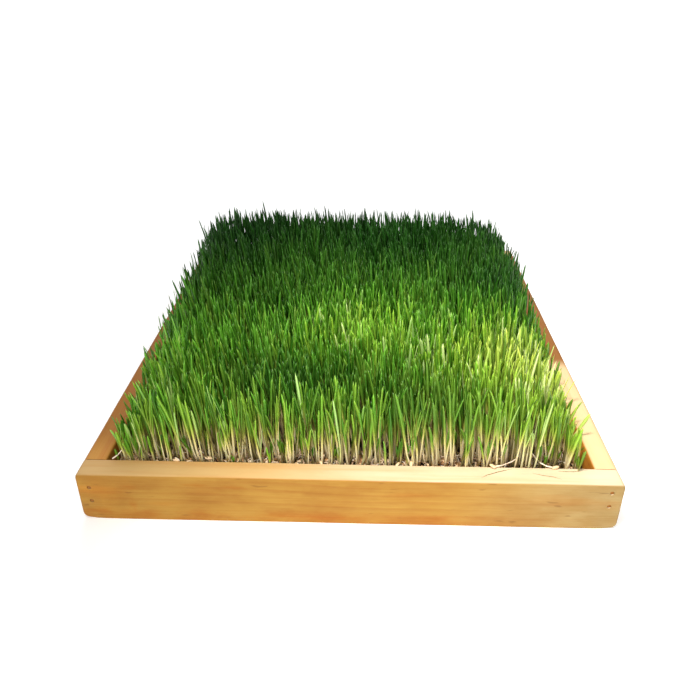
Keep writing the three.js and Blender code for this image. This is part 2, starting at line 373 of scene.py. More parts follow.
def pine(name, grain_turn, heart, shift, tones, change, top_change, marks=()):
    """Planed pine: faint growth rings, fibres, cloudy changes of tone and a painted highlight on its
    upper faces.

    The grain runs along X after the turn. heart is where the tree's middle passes the piece. Its
    light and dark colours go from the first of the tones to the second between the two places of
    change along the rail, which paints light and shade along it. Its upper faces get a painted
    highlight, its colour going from the first tone's to the second's between those of top_change.
    marks holds the X and Z of spots on its face, how far each reaches along X and Z, and its tint.
    """
    r = Recipe(name)
    rail_x, rail_y, height = r.parts(r.place())
    along_rail = rail_y if grain_turn else rail_x
    light_wood, dark_wood, top_highlight_wood = [
        r.mix(r.spread(along_rail, *span), *pair)
        for span, pair in zip((change, change, top_change), zip(*tones))
    ]
    turned = r.mapped(r.place(), turn=(0, 0, grain_turn), shift=shift)
    rings = late_wood(r, turned, heart)
    fibre = r.noise(r.mapped(turned, scale=(22, 800, 800)), 1.0, 3.0, 0.6)
    streak = r.noise(r.mapped(turned, scale=(5, 110, 110)), 1.0, 3.0, 0.55)
    cloud = r.noise(r.mapped(turned, scale=(16, 40, 40)), 1.0, 4.0, 0.6)
    colour = r.mix(r.spread(cloud, 0.32, 0.70), light_wood, dark_wood)
    ring_share = r.math("MULTIPLY", rings, r.spread(streak, 0.35, 0.75, 0.05, 0.7))
    colour = r.tinted(ring_share, colour, (0.86, 0.70, 0.56))
    glow = r.noise(r.mapped(turned, scale=(9, 60, 60), shift=(3, 1, 2)), 1.0, 2.0)
    colour = r.tinted(r.spread(glow, 0.56, 0.78, 0.0, 0.6), colour, (1.04, 0.80, 0.55))
    # Darker and browner towards the bottom of each face, in cloudy patches, less so towards the right
    # end.
    darker_low_band = r.math("MULTIPLY", r.spread(height, 8 * MM, 16 * MM, 0.9, 0.0), r.spread(cloud, 0.3, 0.6))
    darker_low_band = r.math("MULTIPLY", darker_low_band, r.spread(rail_x, 0.05, 0.16, 1.0, 0.15))
    colour = r.tinted(darker_low_band, colour, (1.00, 0.80, 0.56))
    colour = marked(r, colour, marks)
    colour = r.tinted(r.spread(fibre, 0.35, 0.75, 0.0, 0.45), colour, (0.86, 0.80, 0.70))
    fleck = r.noise(r.mapped(turned, scale=(60, 280, 280)), 1.0, 1.0)
    colour = r.tinted(r.spread(fleck, 0.70, 0.80, 0.0, 0.5), colour, (0.50, 0.38, 0.30))
    # The upper faces are painted paler, as a painted highlight of the light on the tops, streaked with
    # the grain.
    _, _, facing_up = r.parts(r.node("NewGeometry").outputs["Normal"])
    top_highlight = r.spread(r.math("MULTIPLY_ADD", cloud, 0.4, facing_up), 0.65, 1.3, 0.0, 0.9)
    streaked_top_highlight = r.tinted(r.spread(streak, 0.45, 0.75, 0.0, 0.6), top_highlight_wood, (0.90, 0.66, 0.46))
    r.set("Base Color", r.mix(top_highlight, colour, streaked_top_highlight))
    r.set("Roughness", r.spread(fibre, 0.2, 0.8, 0.58, 0.76))
    r.set("Specular IOR Level", 0.25)
    r.bump(r.math("ADD", fibre, r.math("MULTIPLY", rings, 0.4)), 0.12 * MM)
    return r.material


def plywood():
    """Birch-faced plywood, its face grain along Y."""
    r = Recipe("plywood", roughness=0.65)
    place = r.place()
    figure = r.noise(r.mapped(place, scale=(22, 1.6, 22)), 1.0, 4.0, 0.6)
    pores = r.noise(r.mapped(place, scale=(900, 40, 900)), 1.0, 2.0)
    colour = r.ramp(
        figure, (0.25, srgb(186, 142, 92)), (0.5, srgb(212, 174, 124)), (0.75, srgb(226, 194, 146))
    )
    colour = r.mix(r.spread(pores, 0.55, 0.75, 0.0, 0.4), colour, srgb(150, 106, 62))
    damp = r.noise(place, 9, 3.0)
    colour = r.mix(r.spread(damp, 0.5, 0.7, 0.0, 0.35), colour, srgb(132, 96, 62))
    r.set("Base Color", colour)
    r.bump(pores, 0.08 * MM)
    return r.material


# ---- Steel, soil, grain, roots and leaves ----------------------------------------------------


def nail_steel():
    """Bright steel that damp wood has begun to rust."""
    r = Recipe("nail_steel", roughness=0.45)
    rust = r.spread(r.noise(r.place(), 700, 4.0, 0.6), 0.30, 0.55)
    r.set("Base Color", r.mix(rust, srgb(152, 110, 58), srgb(138, 88, 38)))
    r.set("Metallic", r.spread(rust, 0.0, 1.0, 0.3, 0.0))
    r.set("Specular IOR Level", 0.2)
    r.set("Roughness", r.spread(rust, 0.0, 1.0, 0.5, 0.85))
    r.bump(rust, 0.05 * MM)
    return r.material


def damp_soil():
    r = Recipe("damp_soil", roughness=0.9)
    place = r.place()
    coarse = r.noise(place, 90, 6.0, 0.7)
    fine = r.noise(place, 900, 4.0, 0.7)
    colour = r.ramp(coarse, (0.3, srgb(26, 15, 9)), (0.5, srgb(52, 32, 19)), (0.7, srgb(84, 56, 35)))
    colour = r.mix(r.spread(fine, 0.62, 0.75, 0.0, 0.5), colour, srgb(126, 92, 62))
    r.set("Base Color", colour)
    r.bump(r.math("ADD", coarse, r.math("MULTIPLY", fine, 0.4)), 1.2 * MM)
    return r.material


def grain_coat():
    """The skin of sprouted wheat: tan, darker in places, each grain a little different."""
    r = Recipe("grain_coat", roughness=0.55)
    mottled = r.noise(r.place(), 600, 3.0, 0.6)
    colour = r.ramp(
        r.attribute("tone"),
        (0.0, srgb(132, 90, 56)),
        (0.35, srgb(188, 144, 96)),
        (0.7, srgb(222, 188, 146)),
        (1.0, srgb(244, 222, 192)),
    )
    colour = r.mix(r.spread(mottled, 0.45, 0.8, 0.0, 0.5), colour, srgb(96, 60, 32))
    r.set("Base Color", colour)
    r.bump(mottled, 0.15 * MM)
    return r.material


def root_skin():
    """Bare white roots, stained by the soil in places."""
    r = Recipe("root_skin", roughness=0.4)
    colour = r.ramp(
        r.attribute("tone"),
        (0.0, srgb(196, 160, 128)),
        (0.5, srgb(228, 205, 182)),
        (1.0, srgb(246, 238, 226)),
    )
    stained = r.noise(r.place(), 260, 3.0)
    colour = r.mix(r.spread(stained, 0.5, 0.8, 0.0, 0.55), colour, srgb(150, 108, 74))
    r.set("Base Color", colour)
    return r.material


LIT_THROUGH = 0.42  # the share of a blade's colour that is light let through it


def wheat_leaf():
    """A blade from its pale foot to its green tip, glossy, and lit through from behind.

    Its attributes run from 0 to 1. along is the share of its length, and tone how lively its
    colour is. Green starts further down the higher its hue is, and a low hue turns it golden. pale
    is painted light and shade: it goes from deep green in painted shade to pale green in painted
    light.
    """
    r = Recipe("wheat_leaf", roughness=0.34)
    tone = r.attribute("tone")
    hue = r.attribute("hue")
    pale = r.attribute("pale")
    along = r.math("ADD", r.attribute("along"), r.math("MULTIPLY_ADD", hue, 0.36, -0.17))
    foot = r.ramp(
        along,
        (0.0, srgb(252, 236, 204)),
        (0.12, srgb(254, 246, 212)),
        (0.22, srgb(252, 242, 184)),
        (0.34, srgb(243, 238, 136)),
        (0.50, srgb(206, 222, 88)),
    )
    # The green and golden ramps paint light and shade by pale: deep green in painted shade, pale green
    # in painted light.
    green = r.ramp(
        pale,
        (0.0, (0.042, 0.185, 0.023)),
        (0.4, (0.205, 0.560, 0.046)),
        (0.7, (0.400, 0.790, 0.075)),
        (1.0, (0.760, 0.950, 0.200)),
    )
    golden = r.ramp(
        pale,
        (0.0, (0.060, 0.188, 0.027)),
        (0.4, (0.350, 0.570, 0.056)),
        (0.7, (0.600, 0.800, 0.088)),
        (1.0, (0.860, 0.950, 0.200)),
    )
    low_down = r.math("SUBTRACT", 1.0, r.spread(along, 0.35, 0.80))
    blade = r.mix(r.math("MAXIMUM", r.spread(hue, 0.0, 0.40, 0.65, 0.0), low_down), green, golden)
    foot = r.mix(r.spread(tone, 0.2, 0.6), r.tinted(1.0, foot, (0.28, 0.26, 0.15)), foot)
    blade = r.mix(r.spread(tone, 0.05, 0.75), r.tinted(1.0, blade, (0.28, 0.42, 0.26)), blade)
    colour = r.mix(r.spread(along, 0.20, 0.58), foot, blade)
    # Painted glints: the liveliest blades where the light is painted strong are turned nearly white,
    # as if they caught the light.
    in_painted_light = r.spread(pale, 0.30, 0.75)
    painted_glint = r.math("MULTIPLY", r.spread(tone, 0.80, 0.95, 0.0, 0.85), in_painted_light)
    colour = r.mix(painted_glint, colour, (0.92, 1.0, 0.60))
    r.set("Base Color", colour)
    thin = r.node("BsdfTranslucent")
    r.feed(thin.inputs["Color"], r.tinted(1.0, colour, srgb(255, 255, 150)))
    blend = r.node("MixShader")
    blend.inputs["Fac"].default_value = LIT_THROUGH
    r.feed(blend.inputs[1], r.shader.outputs[0])
    r.feed(blend.inputs[2], thin.outputs[0])
    r.feed(r.output.inputs["Surface"], blend.outputs[0])
    return r.material


# ---- Rails -----------------------------------------------------------------------------------

EASED_EDGE = 2.2 * MM
CLOSE_EDGE = 0.25 * MM
LOWER_EDGE = 0.9 * MM
WORN_LOWER_CORNER = 6 * MM
WORN_UPPER_CORNER = 4.5 * MM
REBATE_HEIGHT = 6.3 * MM
REBATE_WIDTH = 8 * MM
CORNER_SEGMENTS = 5
EDGE_SEGMENTS = 3
SHARP_ANGLE = math.radians(35)
WARP = 0.45 * MM
WARP_WAVES = 19  # how many times a metre the warp comes and goes
WARP_STEPS = 24
# How much wider a nail's hole is than its head, how long the hole's cutter is, and how far in
# from the head's face the cutter's middle lies.
HOLE_MARGIN = 0.25 * MM
HOLE_LENGTH = 6 * MM
HOLE_INSET = 0.8 * MM
CRACK_WIDTH = 0.8 * MM
CRACK_DEPTH = 2.2 * MM
CRACK_START = 1 * MM  # how far above the rim its cutter begins
CRACK_ENDS = 0.04  # how much of a half wave is left off at each end, so that it isn't quite shut


def rounded(bm, edges, radius, segments):
    bmesh.ops.bevel(
        bm, geom=edges, offset=radius, segments=segments, profile=0.5, affect="EDGES", material=-1
    )


def rail_blank(low, high, is_long):
    """A squared batten with eased edges.

    A long rail's ends are worn round as well, and its inner edges stay nearly square. A short
    rail's ends are square, to butt against it, and its outer upper edge is worn as the long
    rail's corner is.
    """
    bm = bmesh.new()
    add_box(bm, low, high)
    size = high - low

    def runs_along_y(edge):
        return abs(edge.verts[0].co.y - edge.verts[1].co.y) > size.y / 2

    if is_long:
        for radius, z in ((WORN_LOWER_CORNER, low.z), (WORN_UPPER_CORNER, high.z)):
            ends = [
                edge
                for edge in bm.edges
                if runs_along_y(edge)
                and abs(abs(edge.verts[0].co.x) - size.x / 2) < SAME
                and abs(edge.verts[0].co.z - z) < SAME
            ]
            rounded(bm, ends, radius, CORNER_SEGMENTS)
    inner_y = low.y if low.y > 0 else high.y
    outer_x = high.x if high.x > 0 else low.x

    def easing(edge):
        places = [vert.co for vert in edge.verts]
        if is_long and all(abs(place.y - inner_y) < SAME for place in places):
            return CLOSE_EDGE
        if all(place.z < low.z + SAME for place in places):
            return LOWER_EDGE
        if not is_long and all(abs(place.x - outer_x) < SAME for place in places):
            return WORN_UPPER_CORNER
        return EASED_EDGE

    by_easing = {}
    for edge in bm.edges:
        if edge.calc_face_angle(0) > SHARP_ANGLE and (is_long or runs_along_y(edge)):
            by_easing.setdefault(easing(edge), []).append(edge)
    for radius, edges in by_easing.items():
        rounded(bm, [edge for edge in edges if edge.is_valid], radius, EDGE_SEGMENTS)
    return bm


def warp_blank(bm, low, high, seed):
    """Cuts a blank into short lengths and lets its sides and top wander a little, inwards."""
    along = 0 if high.x - low.x > high.y - low.y else 1
    normal = Vector((1 - along, along, 0))
    length = high[along] - low[along]
    for index in range(1, WARP_STEPS):
        place = Vector((0, 0, 0))
        place[along] = low[along] + length * index / WARP_STEPS
        everything = bm.verts[:] + bm.edges[:] + bm.faces[:]
        bmesh.ops.bisect_plane(bm, geom=everything, plane_co=place, plane_no=normal)
    centre = (low + high) / 2
    for vert in bm.verts:
        place = vert.co * WARP_WAVES + Vector((seed, 0, 0))
        for axis in range(3):
            outward = 1 if vert.co[axis] > centre[axis] else -1
            if axis == along or (axis == 2 and outward < 0):
                continue
            elsewhere = Vector((0, 0, 7.3 * axis))
            wave = noise.noise(place + elsewhere)
            vert.co[axis] -= outward * WARP * (0.5 + 0.5 * wave)


def cutter_box(low, high):
    bm = bmesh.new()
    add_box(bm, low, high)
    return object_from(bm, "cutter")


def nail_hole(node):
    """A round hole, a little wider than the nail's head, from the rail's face to past the head."""
    low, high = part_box(node)
    radius = (high.z - low.z) / 2 + HOLE_MARGIN
    bm = bmesh.new()
    bmesh.ops.create_cone(
        bm, cap_ends=True, segments=20, radius1=radius, radius2=radius, depth=HOLE_LENGTH
    )
    bmesh.ops.rotate(bm, verts=bm.verts, matrix=Matrix.Rotation(math.pi / 2, 3, "X"))
    y = low.y + HOLE_INSET if low.y < 0 else high.y - HOLE_INSET
    bmesh.ops.translate(bm, verts=bm.verts, vec=((low.x + high.x) / 2, y, (low.z + high.z) / 2))
    return object_from(bm, "cutter")


def drying_crack(points):
    """A hairline crack in the rim: a thin wedge that follows the points and closes at both ends."""
    bm = bmesh.new()
    last = len(points) - 1
    left, right = [], []
    for index, point in enumerate(points):
        share = CRACK_ENDS + (1 - 2 * CRACK_ENDS) * index / last
        half = CRACK_WIDTH / 2 * math.sin(math.pi * share)
        ahead = Vector((*points[min(index + 1, last)], RIM))
        behind = Vector((*points[max(index - 1, 0)], RIM))
        side = (ahead - behind).cross(Vector((0, 0, 1))).normalized()
        above = Vector((*point, RIM + CRACK_START))
        left.append(bm.verts.new(above + side * half))
        right.append(bm.verts.new(above - side * half))
    top = bm.faces.new(left + right[::-1])
    solid = bmesh.ops.extrude_face_region(bm, geom=[top])
    lower = only(BMVert, solid["geom"])
    bmesh.ops.translate(bm, verts=lower, vec=(0, 0, -CRACK_DEPTH - CRACK_START))
    bmesh.ops.recalc_face_normals(bm, faces=bm.faces)
    return object_from(bm, "cutter")


def cut(piece, cutters):
    for cutter in cutters:
        modifier = piece.modifiers.new("cut", "BOOLEAN")
        modifier.object = cutter
        modifier.operation = "DIFFERENCE"
        modifier.solver = "EXACT"
    bpy.context.view_layer.update()
    depsgraph = bpy.context.evaluated_depsgraph_get()
    mesh = bpy.data.meshes.new_from_object(piece.evaluated_get(depsgraph))
    piece.modifiers.clear()
    piece.data = mesh
    for cutter in cutters:
        bpy.data.objects.remove(cutter)


def make_rail(node, seed, material, cracks=()):
    low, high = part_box(node)
    is_long = node in ("front_rail", "back_rail")
    bm = rail_blank(low, high, is_long)
    warp_blank(bm, low, high, seed)
    rail = object_from(bm, node + "_planed")
    bay = Vector((INNER_X + REBATE_WIDTH, INNER_Y + REBATE_WIDTH, REBATE_HEIGHT))
    cutters = [cutter_box(-bay, bay)]
    if is_long:
        face = node.removesuffix("_rail")
        cutters += [
            nail_hole(f"nail_{face}_{side}_{level}")
            for side in ("left", "right")
            for level in ("lower", "upper")
        ]
    cutters += [drying_crack(points) for points in cracks]
    cut(rail, cutters)
    smooth_by_angle(rail, degrees=40)
    settle(rail, material, "pine", node)


# Cracks in the front rail's rim, near its right end: X and Y of the points along each one.
RIM_CRACKS = [
    [(0.1850, -0.2622), (0.1915, -0.2624), (0.1990, -0.2622), (0.2065, -0.2616)],
    [(0.1452, -0.2598), (0.1385, -0.2622), (0.1323, -0.2644), (0.1214, -0.2693), (0.1160, -0.2730)],
    [(0.1618, -0.2652), (0.1707, -0.2683), (0.1789, -0.2698), (0.1862, -0.2730)],
]

# Resin stains and a lighter end on the front rail's face: X and Z of the middle, how far each
# reaches along X and Z, and what it does to the colour.
RESIN = (0.98, 0.74, 0.42)
LIGHTER = (1.36, 1.34, 1.26)
FACE_MARKS = [
    (-0.1930, 0.0370, 0.010, 0.004, RESIN),
    (-0.1340, 0.0405, 0.016, 0.003, RESIN),
    (-0.1010, 0.0390, 0.014, 0.003, RESIN),
    (-0.1920, 0.0160, 0.005, 0.009, RESIN),
    (-0.2240, 0.0090, 0.012, 0.005, RESIN),
    (-0.0300, 0.0060, 0.060, 0.004, RESIN),
    (-0.2220, 0.0300, 0.034, 0.026, LIGHTER),
]

# Each tone's light and dark wood, and the colour of its upper faces: a painted highlight where it is
# paler than the wood. The brown tone is painted shade, with no highlight on its tops. The warm
# tone's tops are darker than the pale tone's, as painted shadow over the left of the front rim, and
# the pale tone is partly painted light. The lit and shaded tones are the right rail's painted lit and
# shaded ends.
WARM_PINE = (srgb(162, 122, 49), srgb(148, 103, 35), srgb(202, 166, 112))
PALE_LIT_PINE = (srgb(158, 138, 93), srgb(145, 118, 69), srgb(215, 196, 168))
TAWNY_PINE = (srgb(163, 112, 36), srgb(145, 92, 24), srgb(192, 138, 62))
SHADE_BROWN_PINE = (srgb(147, 94, 28), srgb(127, 74, 15), srgb(149, 94, 24))
LIT_PINE = (srgb(196, 136, 52), srgb(176, 112, 36), srgb(218, 190, 149))
SHADED_PINE = (*SHADE_BROWN_PINE[:2], srgb(131, 82, 20))


def make_rails():
    # The front rail is painted paler towards its right end, partly for the stronger light there, and
    # the left of its rim is painted in shadow.
    front = pine(
        "pine_front",
        grain_turn=0,
        heart=(-0.300, -0.030),
        shift=(0.31, 0, 0),
        tones=(WARM_PINE, PALE_LIT_PINE),
        change=(0.07, 0.25),
        top_change=(-0.10, 0.06),
        marks=FACE_MARKS,
    )
    # The back rail is painted in shade towards its left end.
    back = pine(
        "pine_back",
        grain_turn=0,
        heart=(0.235, -0.050),
        shift=(1.7, 0, 0),
        tones=(SHADE_BROWN_PINE, WARM_PINE),
        change=(-0.2, 0.2),
        top_change=(-0.2, 0.2),
    )
    # The left rail is painted in shade behind its front end, and its top too from about 6 cm in.
    left = pine(
        "pine_left",
        grain_turn=math.pi / 2,
        heart=(0.2, -0.02),
        shift=(0.9, 0.43, 0),
        tones=(TAWNY_PINE, SHADE_BROWN_PINE),
        change=(-0.262, -0.10),
        top_change=(-0.262, -0.205),
    )
    # The right rail is painted lit at its front end and shaded towards its far end, with a painted
    # shadow edge across its top.
    right = pine(
        "pine_right",
        grain_turn=math.pi / 2,
        heart=(0.26, 0.09),
        shift=(2.6, 0.02, 0),
        tones=(LIT_PINE, SHADED_PINE),
        change=(-0.22, 0.02),
        top_change=(-0.086, -0.060),
    )
    make_rail("front_rail", 3.1, front, RIM_CRACKS)
    make_rail("back_rail", 8.7, back)
    make_rail("left_rail", 15.2, left)
    make_rail("right_rail", 21.4, right)


# ---- Soil ------------------------------------------------------------------------------------

SOIL_STEP = 3.2 * MM
SOIL_UNDER_SEEDS = 2.2 * MM
# How deep the soil has sunk along the rails, and how far in from them it does so.
SIDE_SINK, SIDE_SINK_REACH = 8 * MM, 7 * MM
END_SINK, END_SINK_REACH = 2.5 * MM, 9 * MM
# How high the soil's mounds and crumbs are, and how many of them there are to a metre.
MOUND_HEIGHT, MOUND_WAVES = 1.6 * MM, 26
CRUMB_HEIGHT, CRUMB_WAVES = 1.3 * MM, 170


def soil_height(x, y):
    """The crumbly surface under the seed layer, sunk where it has dried away from the rails."""
    sunk = SIDE_SINK * math.exp(-(INNER_X - abs(x)) / SIDE_SINK_REACH)
    sunk += END_SINK * math.exp(-(INNER_Y - abs(y)) / END_SINK_REACH)
    place = Vector((x, y, 0))
    elsewhere = Vector((5, 3, 1))
    mounds = MOUND_HEIGHT * noise.fractal(place * MOUND_WAVES, 0.9, 2.1, 3)
    crumbs = CRUMB_HEIGHT * noise.fractal(place * CRUMB_WAVES + elsewhere, 0.7, 2.2, 4)
    return min(SEEDS_TOP - SOIL_UNDER_SEEDS - sunk + mounds + crumbs, SEEDS_TOP)


def soil_heights(x, y):
    return np.array([soil_height(a, b) for a, b in zip(x, y)])


def make_soil(material):
    bm = bmesh.new()
    x_segments, y_segments = [round(2 * half / SOIL_STEP) for half in SOIL_HIGH.xy]
    bmesh.ops.create_grid(bm, x_segments=x_segments, y_segments=y_segments, size=1)
    bmesh.ops.scale(bm, verts=bm.verts, vec=(SOIL_HIGH.x, SOIL_HIGH.y, 1))
    rim = [edge for edge in bm.edges if edge.is_boundary]
    for vert in bm.verts:
        vert.co.z = soil_height(vert.co.x, vert.co.y)
    skirt = bmesh.ops.extrude_edge_only(bm, edges=rim)["geom"]
    lower = set(only(BMVert, skirt))
    for vert in lower:
        vert.co.z = SOIL_LOW.z
    underside = [edge for edge in only(BMEdge, skirt) if lower.issuperset(edge.verts)]
    bmesh.ops.contextual_create(bm, geom=underside)
    bmesh.ops.recalc_face_normals(bm, faces=bm.faces)
    soil = object_from(bm, "soil_surface")
    smooth_by_angle(soil, degrees=60)
    settle(soil, material, "soil", "soil_bed")


# ---- Copies of small shapes ------------------------------------------------------------------


class Copies:
    """Many copies of small closed templates, gathered into one mesh."""

    def __init__(self):
        self.points = []
        self.corners = []
        self.sizes = []
        self.values = {}
        self.count = 0

    def add(self, template, points, **values):
        """points holds every copy's vertices. values hold one number for each of those vertices."""
        copies, verts = points.shape[:2]
        starts = self.count + verts * np.arange(copies)
        self.points.append(points.reshape(-1, 3))
        self.corners.append((template.corners[None, :] + starts[:, None]).ravel())
        self.sizes.append(np.tile(template.sizes, copies))
        for name, value in values.items():
            self.values.setdefault(name, []).append(np.asarray(value, np.float32).reshape(-1))
        self.count += copies * verts

    def object(self, name):
        points = np.concatenate(self.points)
        corners = np.concatenate(self.corners).astype(np.int32)
        sizes = np.concatenate(self.sizes).astype(np.int32)
        values = {key: np.concatenate(value) for key, value in self.values.items()}
        mesh = bpy.data.meshes.new(name)
        mesh.vertices.add(len(points))
        mesh.vertices.foreach_set("co", points.astype(np.float32).ravel())
        mesh.loops.add(len(corners))
        mesh.loops.foreach_set("vertex_index", corners)
        mesh.polygons.add(len(sizes))
        mesh.polygons.foreach_set("loop_start", (np.cumsum(sizes) - sizes).astype(np.int32))
        mesh.polygons.foreach_set("use_smooth", np.ones(len(sizes), bool))
        for key in ("along", "tone", "hue", "pale"):
            if key in values:
                mesh.attributes.new(key, "FLOAT", "POINT").data.foreach_set("value", values[key])
        if "u" in values:
            layer = mesh.uv_layers.new(name="OFBake")
            flat = np.stack([values["u"], values["v"]], 1)
            layer.uv.foreach_set("vector", flat[corners].ravel())
        mesh.update(calc_edges=True)
        mesh.validate()
        return linked(name, mesh)


class Template:
    """A small closed shape: its vertices, and its faces as corner lists."""

    def __init__(self, bm):
        bmesh.ops.recalc_face_normals(bm, faces=bm.faces)
        bm.verts.index_update()
        self.points = np.array([vert.co[:] for vert in bm.verts])
        self.corners = np.array([vert.index for face in bm.faces for vert in face.verts])
        self.sizes = np.array([len(face.verts) for face in bm.faces])
        bm.free()


def stalk_template(*rings):
    """A closed stalk on +Z from rings of four corners, ending in a point.

    A ring is (height, half width, half thickness, fold). The fold lifts both edges towards +Y,
    which makes a flat ring a shallow channel.
    """
    bm = bmesh.new()
    ring = bmesh.ops.create_circle(bm, cap_ends=True, segments=4, radius=1)["verts"]
    edges = bm.edges[:]
    for index, (height, half_width, half_thickness, fold) in enumerate(rings):
        if index:
            grown = bmesh.ops.extrude_edge_only(bm, edges=edges)["geom"]
            ring = only(BMVert, grown)
            edges = [edge for edge in only(BMEdge, grown) if all(vert in ring for vert in edge.verts)]
        corners = sorted(ring, key=lambda vert: math.atan2(vert.co.y, vert.co.x))
        flat = [(0, -half_thickness), (half_width, fold), (0, half_thickness), (-half_width, fold)]
        for vert, (x, y) in zip(corners, flat):
            vert.co = (x, y, height)
    bmesh.ops.pointmerge(bm, verts=ring, merge_co=(0, 0, rings[-1][0]))
    return Template(bm)


# ---- Stalks ----------------------------------------------------------------------------------

FOOT_SHARE = 0.18  # how much of a stalk's length its foot takes up
SPINE_POINTS = 25
UPWARD = np.array([0.0, 0.0, 1.0])


class Stalks:
    """Many stalks that lean over as they rise, with one value for each of them under each name.

    A stalk stands at its root, and its angle from upright runs from tilt near the root to
    tilt + bend at the tip, towards the heading. Its foot leans by kink as well. Its flat side
    faces the given direction and turns by twist on the way up. Its length is in metres, and girth
    widens it.
    """

    def __init__(self, **values):
        vars(self).update(values)

    def picked(self, index):
        return Stalks(**{name: value[index] for name, value in vars(self).items()})


def level_direction(angle):
    """A level unit vector for each angle from +X."""
    return np.stack([np.cos(angle), np.sin(angle), np.zeros_like(angle)], -1)


def spine(stalks, shares):
    """Where the stalks are at the given shares of their length, from their root, and their lean.

    shares has a row for each stalk.
    """
    steps = np.linspace(0, 1, SPINE_POINTS)
    angle = stalks.tilt[:, None] + stalks.bend[:, None] * steps[None, :] ** 1.6
    angle = angle + stalks.kink[:, None] * np.exp(-((steps[None, :] / FOOT_SHARE) ** 2))

    def summed(values):
        middles = (values[:, 1:] + values[:, :-1]) / 2 * steps[1]
        return np.concatenate([np.zeros((len(values), 1)), np.cumsum(middles, 1)], 1)

    def at_shares(table):
        return np.stack([np.interp(share, steps, row) for share, row in zip(shares, table)])

    run, rise = at_shares(summed(np.sin(angle))), at_shares(summed(np.cos(angle)))
    ahead = level_direction(stalks.heading)
    places = run[:, :, None] * ahead[:, None, :] + rise[:, :, None] * UPWARD
    return stalks.length[:, None, None] * places, at_shares(angle)


def grown(template, stalks):
    """Every stalk's vertices."""
    heights, level = np.unique(template.points[:, 2], return_inverse=True)
    places, lean = spine(stalks, np.tile(heights, (len(stalks.root), 1)))
    centre = stalks.root[:, None, :] + places
    ahead = level_direction(stalks.heading)
    tangent = np.sin(lean)[:, :, None] * ahead[:, None, :] + np.cos(lean)[:, :, None] * UPWARD
    side = level_direction(stalks.facing[:, None] + stalks.twist[:, None] * heights[None, :])
    side -= (side * tangent).sum(2, keepdims=True) * tangent
    side /= np.linalg.norm(side, axis=2, keepdims=True)
    front = np.cross(tangent, side)
    wide = template.points[None, :, 0, None] * MM * side[:, level]
    deep = template.points[None, :, 1, None] * MM * front[:, level]
    return centre[:, level] + stalks.girth[:, None, None] * (wide + deep)


# ---- Grass -----------------------------------------------------------------------------------

SEED = 20
PLANT_PITCH = 5.1 * MM
SOWING_SPREAD = 1.9 * MM
MISSING_SHARE = 0.03
WALL_MARGIN = 5 * MM
FRONT_RIGHT_MARGIN = 5 * MM
STALK_ROOT = SEEDS_TOP - 2.5 * MM
# How high the tips stand above the rim: in the middle, how much more at the back, how much less
# in the back corner on the right, and the limits.
TIP_ABOVE_RIM = 64 * MM
BACK_RISE = 7 * MM
BACK_RIGHT_DROP = 11 * MM
SHORTEST_ABOVE_RIM = 4 * MM
TALLEST_ABOVE_RIM = 88 * MM
# How high they stand along each side, from the back rail to the front one, and how wide the slope
# up to the middle is.
LEFT_EDGE_TIPS = [44 * MM, 52 * MM, 46 * MM, 28 * MM, 16 * MM]
RIGHT_EDGE_TIPS = [44 * MM, 46 * MM, 42 * MM, 26 * MM, 18 * MM]
EDGE_SLOPE = 56 * MM
# How much the sward swells and sinks, and the spread of single heights as a share of the mean.
SWELL = 4 * MM
HEIGHT_SPREAD = 0.115
FIRST_ROW = 0.94  # the nearness from which a plant is in the first row by the front rail
# The share of plants that came up late, in that row and elsewhere, and how much shorter they are
# at least and at most.
LATE_SHARE = (0.42, 0.22)
LEAST_SHORTFALL = 0.12
MOST_SHORTFALL = (0.80, 0.50)
# The share that came up early, how far from the sides and how near the back they stand.
EARLY_SHARE = 0.008
EARLY_MARGIN = 30 * MM
EARLY_NEARNESS = 0.22
# Angles in degrees: the mean lean towards +X, from the left rail to the right one, how much more
# the plants by the right rail lean near the front, and the mean lean towards +Y.
MEAN_LEAN = [-1.3, -2.4, -1.5, -2.2, -2.0, -2.3]
FRONT_RIGHT_LEAN = 2.2
MEAN_LEAN_Y = -1.0
# How far single plants differ from that, how far they bend, and how far their feet lean.
LEAN_SPREAD_X = 3.0
LEAN_SPREAD_Y = 3.4
BEND_SPREAD = 9
KINK_SPREAD = 24
# Plants by the right rail that lean far out over it: how near it and the front they stand, their
# share, and how much more they lean.
STRAY_BAND = 16 * MM
STRAY_Y = -0.14
STRAY_SHARE = 0.10
STRAY_LEAN = (12, 24)
TWIST_SPREAD = 0.9  # radians
GIRTH = 1.06
GIRTH_SPREAD = 0.16
# The share of shoots that have a second leaf, and where it starts and how long it is, as shares
# of the shoot's length.
LEAFY_SHARE = 0.66
LEAF_START = (0.36, 0.48)
LEAF_LENGTH = (0.30, 0.60)


def shoot_shape():
    """A round pale sheath that opens into a flat blade."""
    return stalk_template(
        (0.00, 1.10, 1.05, 0.00),
        (0.12, 0.95, 0.90, 0.00),
        (0.24, 0.88, 0.78, 0.00),
        (0.40, 0.92, 0.56, 0.12),
        (0.56, 1.18, 0.28, 0.32),
        (0.78, 1.28, 0.20, 0.36),
        (0.93, 0.90, 0.15, 0.20),
        (1.00, 0.10, 0.10, 0.00),
    )


def second_leaf_shape():
    return stalk_template(
        (0.00, 0.55, 0.30, 0.05),
        (0.25, 0.90, 0.22, 0.26),
        (0.62, 1.00, 0.18, 0.30),
        (0.88, 0.62, 0.14, 0.16),
        (1.00, 0.10, 0.10, 0.00),
    )


def smooth_field(x, y, frequency, seed):
    """Slow noise from -1 to 1 over the tray."""
    places = [Vector((a * frequency, b * frequency, seed)) for a, b in zip(x, y)]
    return np.array([noise.noise(place) for place in places])


def eased(share):
    share = np.clip(share, 0, 1)
    return share * share * (3 - 2 * share)


